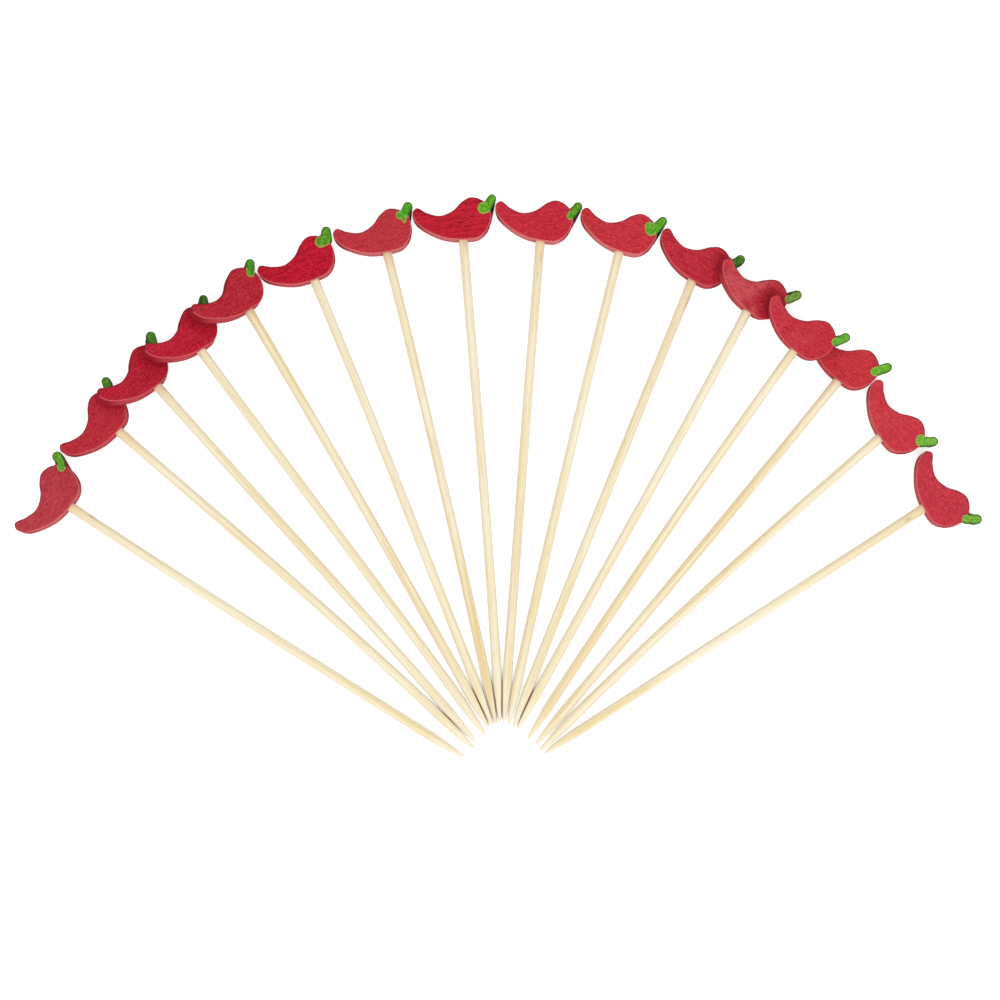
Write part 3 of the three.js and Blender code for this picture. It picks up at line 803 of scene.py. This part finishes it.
def skewerTree():
    # a round stick of split bamboo with a pencil point, along +Y from its point
    tree = bpy.data.node_groups.new("bambooSkewer", "GeometryNodeTree")
    inputs = {}
    for name, kind, value in (
        ("Length", "NodeSocketFloat", 116.0),
        ("Diameter", "NodeSocketFloat", skewerValues["diameter"]),
        ("Point Length", "NodeSocketFloat", skewerValues["pointLength"]),
        ("Point Diameter", "NodeSocketFloat", skewerValues["pointDiameter"]),
        ("Point Fullness", "NodeSocketFloat", skewerValues["pointFullness"]),
        ("Fibre Depth", "NodeSocketFloat", skewerValues["fibreDepth"]),
        ("Bow", "NodeSocketFloat", 0.0),
        ("Bow Skew", "NodeSocketFloat", 0.0),
        ("End Aside", "NodeSocketFloat", 0.0),
        ("Rings", "NodeSocketInt", skewerValues["rings"]),
        ("Sides", "NodeSocketInt", skewerValues["sides"]),
        ("Seed", "NodeSocketFloat", 0.0),
        ("Finish", "NodeSocketMaterial", None),
    ):
        socket = tree.interface.new_socket(name=name, in_out="INPUT", socket_type=kind)
        if value is not None:
            socket.default_value = value
        inputs[name] = socket.identifier
    tree.interface.new_socket(name="Geometry", in_out="OUTPUT", socket_type="NodeSocketGeometry")
    entry = tree.nodes.new("NodeGroupInput")
    term = Term(tree)
    given = {name: Term(tree, entry.outputs[name]) for name in inputs}
    top = term.add("ShaderNodeCombineXYZ", {}, {"Y": given["Length"]})
    line = term.add("GeometryNodeCurvePrimitiveLine", {"mode": "POINTS"}, {"Start": (0, 0, 0), "End": top})
    line = term.add("GeometryNodeResampleCurve", {"mode": "COUNT"}, {"Curve": line, "Count": given["Rings"]})
    # rings crowd towards the point, where the shape changes most
    share = term.add("GeometryNodeSplineParameter", {}, {}, "Factor")
    crowded = share * (1 - skewerValues["crowding"] + share * skewerValues["crowding"])
    spread = term.add("ShaderNodeCombineXYZ", {}, {"Y": given["Length"] * crowded})
    line = term.add("GeometryNodeSetPosition", {}, {"Geometry": line, "Position": spread})
    place = term.add("GeometryNodeInputPosition", {}, {})
    fromPoint = term.add("ShaderNodeSeparateXYZ", {}, {"Vector": place}, "Y")
    pointShare = term.maths("POWER", fromPoint / given["Point Length"], given["Point Fullness"])
    taper = term.add(
        "ShaderNodeMapRange",
        {"clamp": True},
        {"Value": pointShare, "To Min": given["Point Diameter"] * 0.5, "To Max": given["Diameter"] * 0.5},
    )
    ring = {"Resolution": given["Sides"], "Radius": 1.0}
    circle = term.add("GeometryNodeCurvePrimitiveCircle", {"mode": "RADIUS"}, ring)
    shape = {"Curve": line, "Profile Curve": circle, "Scale": taper, "Fill Caps": True}
    stick = term.add("GeometryNodeCurveToMesh", {}, shape)
    seeded = term.add("ShaderNodeCombineXYZ", {}, {"X": given["Seed"], "Z": given["Seed"] * 1.7})
    own = term.add("ShaderNodeVectorMath", {"operation": "ADD"}, {0: place, 1: seeded})
    settings = {"data_type": "FLOAT_VECTOR", "domain": "POINT"}
    stored = {"Geometry": stick, "Name": "ownPlace", "Value": own}
    stick = term.add("GeometryNodeStoreNamedAttribute", settings, stored)
    fibres = cloudy(term, own, skewerValues["fibre"], 2, 0.6) - 0.5
    knife = cloudy(term, own, skewerValues["knife"], 1, 0.5) - 0.5
    rise = (fibres + knife * skewerValues["knifeShare"]) * given["Fibre Depth"] * 2.0
    normal = term.add("GeometryNodeInputNormal", {}, {})
    outward = term.add("ShaderNodeVectorMath", {"operation": "SCALE"}, {0: normal, "Scale": rise})
    alongShare = fromPoint / given["Length"]
    skewed = given["Bow"] + given["Bow Skew"] * (alongShare * 2.0 - 1.0)
    bend = alongShare * (1 - alongShare) * skewed * 4.0 + alongShare * given["End Aside"]
    sideways = term.add("ShaderNodeCombineXYZ", {}, {"X": bend})
    offset = term.add("ShaderNodeVectorMath", {"operation": "ADD"}, {0: outward, 1: sideways})
    stick = term.add("GeometryNodeSetPosition", {}, {"Geometry": stick, "Offset": offset})
    stick = term.add("GeometryNodeRealizeInstances", {}, {"Geometry": stick})
    stick = term.add("GeometryNodeSetMaterial", {}, {"Geometry": stick, "Material": given["Finish"]})
    term.add("NodeGroupOutput", {}, {"Geometry": stick})
    return tree, inputs


def skewerRadius(fromPoint):
    share = np.clip(fromPoint / skewerValues["pointLength"], 0, 1) ** skewerValues["pointFullness"]
    return (skewerValues["pointDiameter"] * (1 - share) + skewerValues["diameter"] * share) / 2


def touchOf(number, corners):
    # 1 where another skewer's point lies against this one, for painted shade in the gap
    touch = np.zeros(len(corners))
    for other in (number - 1, number + 1):
        if 1 <= other <= len(picks):
            across = np.array(places[other - 1].inverted() @ places[number - 1])
            seen = corners @ across[:3, :3].T + across[:3, 3]
            gap = np.hypot(seen[:, 0], seen[:, 2]) - skewerRadius(seen[:, 1])
            near = 1 - smoothStep(*skewerValues["touchReach"], gap)
            touch = np.maximum(touch, near * (seen[:, 1] > -0.3))
    return touch


def skewerMesh(number, pick, tree, inputs):
    length = holeEnd(pick) - skewerValues["endRoom"]
    holder = bpy.data.objects.new("holder", bpy.data.meshes.new("holder"))
    bpy.context.scene.collection.objects.link(holder)
    modifier = holder.modifiers.new("bamboo", "NODES")
    modifier.node_group = tree
    values = {"Length": length, "Seed": number * skewerValues["seedStep"], "Finish": finishes["bamboo"]}
    values["Bow"], values["Bow Skew"], values["End Aside"] = pick["bow"]
    for name, value in values.items():
        modifier[inputs[name]] = value
    mesh = bpy.data.meshes.new_from_object(holder.evaluated_get(bpy.context.evaluated_depsgraph_get()))
    holder.modifiers.remove(modifier)
    bpy.data.objects.remove(holder)
    corners, normals = cornersOf(mesh), normalsOf(mesh)
    lowerEdge = chilliValues["reach"] - pick["short"]
    mark = np.zeros(len(corners))
    for below, aside, markLength, width, strength in pick["marks"]:
        along = (corners[:, 1] - (lowerEdge - below)) / (markLength / 2)
        across = (corners[:, 0] - pick["bow"][2] - aside) / width
        mark = np.maximum(mark, strength * np.exp(-(along**2 + across**2)) * (corners[:, 2] > -0.2))
    setValues(mesh, "mark", mark)
    setValues(mesh, "yellow", np.full(len(corners), pick["yellow"]))
    # painted shade on the skewer's sides, by the way they face
    setValues(mesh, "paintedFlankShade", smoothStep(0.4, 0.9, np.abs(normals[:, 0])))
    setValues(mesh, "tip", 1 - smoothStep(0, skewerValues["pointLength"], corners[:, 1]))
    neck = smoothStep(-skewerValues["neckLength"], 0, corners[:, 1] - lowerEdge)
    setValues(mesh, "neck", neck * pick["yellow"])
    setValues(mesh, "touch", touchOf(number, corners))
    return mesh


places = [pickPlace(number) for number in range(1, len(picks) + 1)]
skewerNodes, skewerInputs = skewerTree()
for number, pick in enumerate(picks, start=1):
    place = places[number - 1]
    base = f"pick_{number:02d}_"
    onHead = place @ onSkewer(pick)
    skewer = skewerMesh(number, pick, skewerNodes, skewerInputs)
    dressed(skewer, f"bambooSkewer{number:02d}", "bamboo", base + "skewer", place)
    chilli = chilliMesh(number, pick)
    dressed(chilli, f"redChilli{number:02d}", "wood", base + "chilli", onHead)
    coat = coatMesh(number, pick)
    dressed(coat, f"greenStalk{number:02d}", "paint", base + "stalk", onHead)
print("picks made:", len(picks))


# Floor, light and camera

studioValues = {
    "floorSize": 3.0,
    "floorColour": (0.86, 0.86, 0.86, 1),
    "floorGlow": 0.62,  # what the camera sees added to the lit floor, so that it is white
    "worldStrength": 0.75,
    "keyEnergy": 3.0,
    "keySize": 0.7,
    "keyFrom": (0.15, -0.55, 0.75),
    "cameraFrom": (0.000362, -0.060839, 0.5),
    "cameraTilt": 6.2575,
    "cameraTurn": -0.3314,
    "lens": 78.1,
    "clipStart": 0.01,
}


def floorMaterial():
    material, term = newMaterial("whiteFloor")
    seen = term.add("ShaderNodeLightPath", {}, {}, "Is Camera Ray")
    lit = term.add("ShaderNodeBsdfDiffuse", {}, {"Color": studioValues["floorColour"]})
    strength = seen * studioValues["floorGlow"]
    glow = term.add("ShaderNodeEmission", {}, {"Color": (1, 1, 1, 1), "Strength": strength})
    both = term.add("ShaderNodeAddShader", {}, {0: lit, 1: glow})
    term.add("ShaderNodeOutputMaterial", {}, {"Surface": both})
    return material


def makeStudio():
    half = studioValues["floorSize"] / 2
    corners = [(-half, -half, 0), (half, -half, 0), (half, half, 0), (-half, half, 0)]
    mesh = bpy.data.meshes.new("floor")
    mesh.from_pydata(corners, [], [(0, 1, 2, 3)])
    mesh.materials.append(floorMaterial())
    floor = bpy.data.objects.new("floor", mesh)
    bpy.context.scene.collection.objects.link(floor)
    world = bpy.data.worlds.new("white room")
    bpy.context.scene.world = world
    world.use_nodes = True
    world.node_tree.nodes.clear()
    term = Term(world.node_tree)
    seen = term.add("ShaderNodeLightPath", {}, {}, "Is Camera Ray")
    # the room lights the picks at its own strength and is white to the camera
    strength = studioValues["worldStrength"] + seen * (1 - studioValues["worldStrength"])
    sky = term.add("ShaderNodeBackground", {}, {"Color": (1, 1, 1, 1), "Strength": strength})
    term.add("ShaderNodeOutputWorld", {}, {"Surface": sky})
    key = bpy.data.lights.new("key", "AREA")
    key.energy = studioValues["keyEnergy"]
    key.size = studioValues["keySize"]
    lamp = bpy.data.objects.new("key", key)
    lamp.location = studioValues["keyFrom"]
    lamp.rotation_euler = (-Vector(studioValues["keyFrom"])).to_track_quat("-Z", "Y").to_euler()
    bpy.context.scene.collection.objects.link(lamp)
    camera = bpy.data.objects.new("camera", bpy.data.cameras.new("camera"))
    camera.data.lens = studioValues["lens"]
    camera.data.clip_start = studioValues["clipStart"]
    camera.location = studioValues["cameraFrom"]
    tilt, turn = math.radians(studioValues["cameraTilt"]), math.radians(studioValues["cameraTurn"])
    camera.rotation_euler = (tilt, 0, turn)
    bpy.context.scene.collection.objects.link(camera)
    bpy.context.scene.camera = camera
    bpy.context.scene.view_settings.view_transform = "Standard"


makeStudio()
print("studio made")
